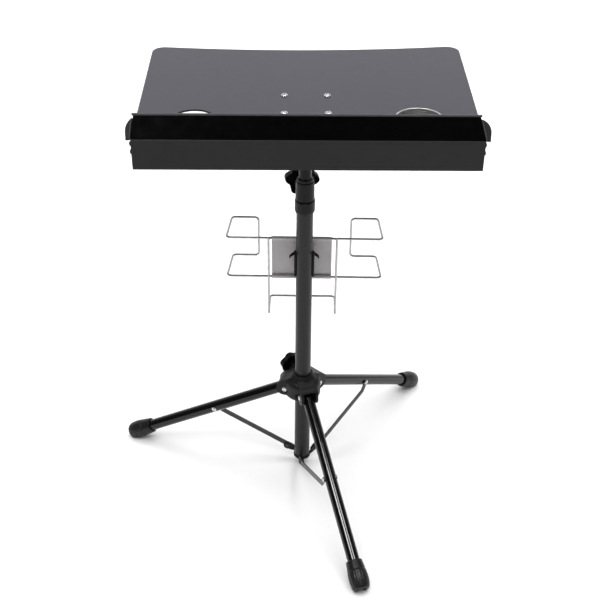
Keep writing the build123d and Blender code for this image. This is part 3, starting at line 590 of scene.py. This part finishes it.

# rolled rim in its lighter steel, a painted highlight of the cup's edge
bm = bmesh.new()
prof = [(R - 0.85 + 0.95 * cos(radians(t)), top + 0.75 + 1.03 * sin(radians(t))) for t in range(0, 360, 20)]
lathe(bm, prof, DESK @ Matrix.Translation((CUP_X, CUP_V, 0)), 160, closed=True)
finish_mesh(bm, "cup_rolled_rim", M["rim"], "cup", None, 60)

prof = ([(HOLE_R + 0.4, DESK_TOP + 0.1)] + [(HOLE_R + 0.75 - 0.35 * cos(radians(a)), DESK_TOP + 0.1 + 0.35 * sin(radians(a))) for a in range(15, 91, 25)]
        + [(HOLE_R + 1.7, DESK_TOP + 0.42), (HOLE_R + 2.0, DESK_TOP + 0.3), (HOLE_R + 2.1, DESK_TOP + 0.04),
           (HOLE_R + 1.17, DESK_TOP + 0.04), (HOLE_R + 1.17, DESK_TOP - SHEET - 0.03), (HOLE_R + 1.9, DESK_TOP - SHEET - 0.03),
           (HOLE_R + 1.8, DESK_TOP - SHEET - 0.3), (HOLE_R + 1.5, DESK_TOP - SHEET - 0.45), (HOLE_R + 0.7, DESK_TOP - SHEET - 0.45),
           (HOLE_R + 0.4, DESK_TOP - SHEET - 0.25)])
bm = bmesh.new()
lathe(bm, prof, DESK @ Matrix.Translation((HOLE_X, HOLE_V, 0)), 120, closed=True)
finish_mesh(bm, "hole_trim_ring", M["plastic"], "desk", "hole_trim", 40)


# moulded bead of each end cap, beside the end of the lip; its plastic is far lighter than the cap's, a painted
# highlight line along the bead
for s, side, edge in ((-1, "left", -DESK_L), (1, "right", DESK_R)):
    a = LIP @ Vector((s * (edge + 1.25), 1.6, -0.40))
    b = LIP @ Vector((s * 232.7, 30.6, -0.40))
    n = (b - a).length * 1000.0
    prof = [(0.0, 0.0), (0.35, 0.08), (0.6, 0.3), (0.74, 0.8)] + [(0.78, 0.8 + (n - 1.6) * i / 8) for i in range(1, 8)]
    prof += [(0.74, n - 0.8), (0.6, n - 0.3), (0.35, n - 0.08), (0.0, n)]
    bm = bmesh.new()
    lathe(bm, prof, axes(a * 1000.0 - Vector((0, 0, DZ)), (0, -LIP_UP.z, LIP_UP.y), b - a), 20)
    finish_mesh(bm, "end_cap_bead_" + side, M["ear_bead"], "desk", None, 60)


# ---------------------------------------------------------------------------
# Lobed knobs
# ---------------------------------------------------------------------------
def lobed_knob(name, m, radius, neck, height, turn, body, node, core=0.77):
    steps = 192

    def outline(inset, mix=0.0, ridge=0.0):
        pts = []
        for i in range(steps):
            a = 2 * pi * i / steps
            c = (1 + cos(6 * (a - radians(turn)))) / 2
            lobe = radius * (core + (1.0 - core) * c ** 0.85)
            r = lobe * (1 - mix) + radius * 0.62 * mix - inset
            if ridge:
                r -= ridge * (0.5 + 0.5 * cos(54 * (a - radians(turn)))) * smooth(0.35, 0.75, c)
            pts.append((r * cos(a), r * sin(a)))
        return pts

    bm = bmesh.new()
    rings = []

    def ring(points, h):
        rings.append(ring_verts(bm, [(x, y, h) for x, y in points], m))

    def circle(r, h):
        ring([(r * cos(2 * pi * i / steps), r * sin(2 * pi * i / steps)) for i in range(steps)], h)

    z0, z1 = neck, neck + height
    circle(4.1, neck + 8.0)
    circle(4.1, 0.4)
    circle(4.5, 0.0)
    circle(8.6, 0.0)
    circle(8.95, 0.35)
    circle(8.95, neck - 1.0)
    circle(9.6, neck - 0.2)
    # hollow under the grip
    circle(10.6, z0 + 5.0)
    ring(outline(3.0, 0.3), z0 + 5.4)
    ring(outline(2.4), z0 + 5.0)
    ring(outline(1.7), z0 + 0.7)
    ring(outline(1.2), z0 + 0.1)
    ring(outline(0.7), z0)
    ring(outline(0.25), z0 + 0.3)
    ring(outline(0.02), z0 + 0.9)
    for i in range(1, 7):
        h = z0 + 0.9 + (height - 3.4) * i / 7
        ring(outline(0.02, 0, 0.35), h)
    ring(outline(0.05), z1 - 2.4)
    for t in (20, 40, 60, 80):
        ring(outline(2.3 - 2.3 * cos(radians(t))), z1 - 2.3 + 2.3 * sin(radians(t)))
    ring(outline(2.9, 0.06), z1 - 0.02)
    ring(outline(3.6, 0.2), z1 - 0.25)
    ring(outline(3.9, 0.5), z1 - 0.55)
    ring(outline(3.6, 0.9), z1 - 0.62)
    circle(radius * 0.46, z1 - 0.45)
    circle(radius * 0.43, z1 + 0.2)
    circle(radius * 0.415, z1 + 0.8)
    circle(radius * 0.385, z1 + 1.2)
    circle(radius * 0.33, z1 + 1.42)
    circle(radius * 0.2, z1 + 1.52)
    circle(radius * 0.08, z1 + 1.55)
    for a, b in zip(rings, rings[1:]):
        bridge(bm, a, b)
    bm.faces.new(rings[0])
    bm.faces.new(rings[-1])
    finish_mesh(bm, name, M["knob"], body, node, 38)


CK = radians(97.0)
lobed_knob("clutch_knob_grip", axes((23 * cos(CK), 23 * sin(CK), 521.5), (sin(CK), -cos(CK), 0), (cos(CK), sin(CK), 0)),
           26.0, 5.0, 15.0, 3, "clutch_knob", "clutch_knob")
HK = radians(111.0)
HUB_KNOB_Z = 171.5
lobed_knob("hub_knob_grip", axes((34 * cos(HK), 34 * sin(HK), HUB_KNOB_Z), (sin(HK), -cos(HK), 0), (cos(HK), sin(HK), 0)),
           21.0, 5.0, 13.0, 12, "hub_knob", "hub_knob", 0.87)
lobed_knob("tilt_knob_grip", axes((11.6, 0, TILT_Z), (0, CT, ST), (1, 0, 0)), 21.0, 5.0, 15.0, 0, "tilt_knob", "tilt_knob")


# ---------------------------------------------------------------------------
# Weld nuggets where the wires of the rack cross
# ---------------------------------------------------------------------------
bm = bmesh.new()
for x in (-55.0, 49.5):
    for z in (RAIL_TOP, RAIL_LOW):
        y = (PRONG_Y + RAIL_Y) / 2
        m = Matrix.Rotation(RACK_TURN, 4, "Z") @ axes((x, y, z), (1, 0, 0), (0, 1, 0))
        prof = [(0.0, -1.15), (1.2, -1.05), (2.0, -0.75), (2.45, -0.3), (2.55, 0.1), (2.3, 0.6), (1.6, 1.0), (0.0, 1.2)]
        seed = Vector((x, z, 3.0))
        lathe(bm, prof, m, 24, wobble=lambda a, h, s=seed: 0.28 * noise.noise(s + Vector((cos(a) * 1.3, sin(a) * 1.3, h))))
finish_mesh(bm, "rack_weld_nuggets", M["wire"], "rack", None, 60)


# ---------------------------------------------------------------------------
# CAD nodes that stay in view
# ---------------------------------------------------------------------------
KEEP = {
    "desk_panel": ("desk", 0.45), "front_apron": ("apron", 0.4), "front_lip": ("lip", 0.4), "side_flange_left": ("apron", 0.35),
    "side_flange_right": ("apron", 0.35), "end_cap_left": ("ear", 0.8), "end_cap_right": ("ear", 0.8),
    "lower_tube": ("tube", 0.4), "upper_tube": ("mast", 0.4), "leg_tube_front": ("leg", 0.3), "leg_tube_right": ("leg", 0.3),
    "leg_tube_left": ("leg", 0.3), "brace_front": ("brace", 0.4), "brace_right": ("brace", 0.4), "brace_left": ("brace", 0.4),
    "clutch_lower_sleeve": ("plastic", 0.3), "clutch_upper_sleeve": ("plastic", 0.3), "hub": ("hub", 0.9), "spider": ("plastic", 0.5),
    "tilt_head": ("plastic", 0.8), "rack_clip": ("plastic", 0.4), "rack_plate": ("plate", 0.2),
    "rack_loop_left": ("wire", 0), "rack_loop_right": ("wire", 0), "rack_hook": ("wire", 0), "rack_rivets": ("zinc", 0.3),
    "clutch_stud": ("zinc", 0.4), "hub_stud": ("zinc", 0.4), "tilt_bolt": ("zinc", 0.4), "head_pin": ("zinc", 0.3),
    "bracket_nuts": ("zinc", 0.4), "clutch_insert": ("brass", 0.3), "hub_insert": ("brass", 0.3), "clutch_bush": ("nylon", 0.2),
    "glide_plug": ("nylon", 0.4), "tilt_washers": ("nylon", 0.1), "desk_bracket": ("bracket", 0.5),
}
for name, (mat, width) in KEEP.items():
    if width > 0:
        refine(name, width)
    paint(NODES[name], M[mat])

# ---------------------------------------------------------------------------
# Stage, light and camera
# ---------------------------------------------------------------------------
bm = bmesh.new()
N = 96
middle = bm.verts.new((0, 0, 0))
rings = [[bm.verts.new((r * cos(2 * pi * i / N), r * sin(2 * pi * i / N), 0.0)) for i in range(N)] for r in (0.8, 1.8, 2.8, FLOOR_R)]
for i in range(N):
    bm.faces.new((middle, rings[0][i], rings[0][(i + 1) % N]))
    for a, b in zip(rings, rings[1:]):
        bm.faces.new((a[i], b[i], b[(i + 1) % N], a[(i + 1) % N]))
me = bpy.data.meshes.new("studio_floor")
bm.to_mesh(me)
bm.free()
floor = bpy.data.objects.new("studio_floor", me)
bpy.context.scene.collection.objects.link(floor)
floor.location = (0, 0, -0.0002)
paint(floor, floor_material())

scene = bpy.context.scene
scene.view_settings.view_transform = "Standard"
scene.view_settings.look = "None"

world = bpy.data.worlds.new("studio")
scene.world = world
world.use_nodes = True
wn = world.node_tree
bg = wn.nodes["Background"]
tc = wn.nodes.new("ShaderNodeTexCoord")
sep = wn.nodes.new("ShaderNodeSeparateXYZ")
wn.links.new(tc.outputs["Generated"], sep.inputs["Vector"])
rampn = wn.nodes.new("ShaderNodeValToRGB")
cr = rampn.color_ramp
stops = [(0.0, 1.0), (0.50, 1.0), (0.62, 0.55), (0.75, 0.05), (1.0, 0.03)]
while len(cr.elements) < len(stops):
    cr.elements.new(0.5)
for e, (p, v) in zip(cr.elements, stops):
    e.position = p
    e.color = (v * 0.985, v * 0.975, v * 1.02, 1) if 0.05 < v < 1.0 else (v, v, v, 1)
wn.links.new(sep.outputs["Z"], rampn.inputs["Fac"])
wn.links.new(rampn.outputs["Color"], bg.inputs["Color"])
# the room is dark in front of the stand and white behind it
rampy = wn.nodes.new("ShaderNodeValToRGB")
cy = rampy.color_ramp
stops = [(0.0, 0.06), (0.20, 0.10), (0.50, 0.35), (0.75, 1.0), (1.0, 1.0)]
while len(cy.elements) < len(stops):
    cy.elements.new(0.5)
for e, (p, v) in zip(cy.elements, stops):
    e.position = p
    e.color = (v, v, v, 1)
wn.links.new(sep.outputs["Y"], rampy.inputs["Fac"])
wn.links.new(rampy.outputs["Color"], bg.inputs["Strength"])
# seen directly, the room is a plain pale backdrop
plain = wn.nodes.new("ShaderNodeBackground")
plain.inputs["Color"].default_value = (1, 1, 1, 1)
rays = wn.nodes.new("ShaderNodeLightPath")
both = wn.nodes.new("ShaderNodeMixShader")
wn.links.new(rays.outputs["Is Camera Ray"], both.inputs["Fac"])
wn.links.new(bg.outputs["Background"], both.inputs[1])
wn.links.new(plain.outputs["Background"], both.inputs[2])
wn.links.new(both.outputs["Shader"], wn.nodes["World Output"].inputs["Surface"])


def area(name, loc, target, size, power, glossy=True, size_y=None):
    light = bpy.data.lights.new(name, "AREA")
    light.energy = power
    light.shape = "RECTANGLE" if size_y else "SQUARE"
    light.size = size
    if size_y:
        light.size_y = size_y
    o = bpy.data.objects.new(name, light)
    scene.collection.objects.link(o)
    o.location = loc
    o.rotation_euler = (Vector(target) - Vector(loc)).to_track_quat("-Z", "Y").to_euler()
    o.visible_glossy = glossy
    o.visible_camera = False
    return o


area("overhead_fill", (0.0, 0.3, 3.6), (0, 0, 0), 5.0, 285.0, glossy=False)
for name, loc, width, depth, power in (("soft_left", (-2.66, -2.90, 8.0), 3.2, 1.05, 300.0), ("soft_right", (2.49, -1.70, 8.0), 2.75, 1.2, 175.0)):
    box = area(name, loc, (loc[0], loc[1], 0), width, power, size_y=depth)
    box.rotation_euler = (0, 0, radians(20))
    box.visible_diffuse = False

cam = bpy.data.cameras.new("camera")
cam.sensor_fit = "AUTO"
cam.sensor_width = 36.0
cam.lens = 1118.339 / 600.0 * 36.0
cam.clip_start, cam.clip_end = 0.05, 60.0
camera = bpy.data.objects.new("camera", cam)
scene.collection.objects.link(camera)
th, ro, om = 0.582148, 0.009774, 0.011430
fw = Vector((sin(om) * cos(th), cos(om) * cos(th), -sin(th)))
rt = Vector((cos(om), -sin(om), 0.0))
up = rt.cross(fw)
r2 = cos(ro) * rt + sin(ro) * up
u2 = -sin(ro) * rt + cos(ro) * up
loc = Vector((-22.4985, -1458.3897, 1286.1523 + DZ)) / 1000.0
camera.matrix_world = Matrix((
    (r2.x, u2.x, -fw.x, loc.x), (r2.y, u2.y, -fw.y, loc.y), (r2.z, u2.z, -fw.z, loc.z), (0, 0, 0, 1)))
scene.camera = camera

bpy.context.view_layer.update()
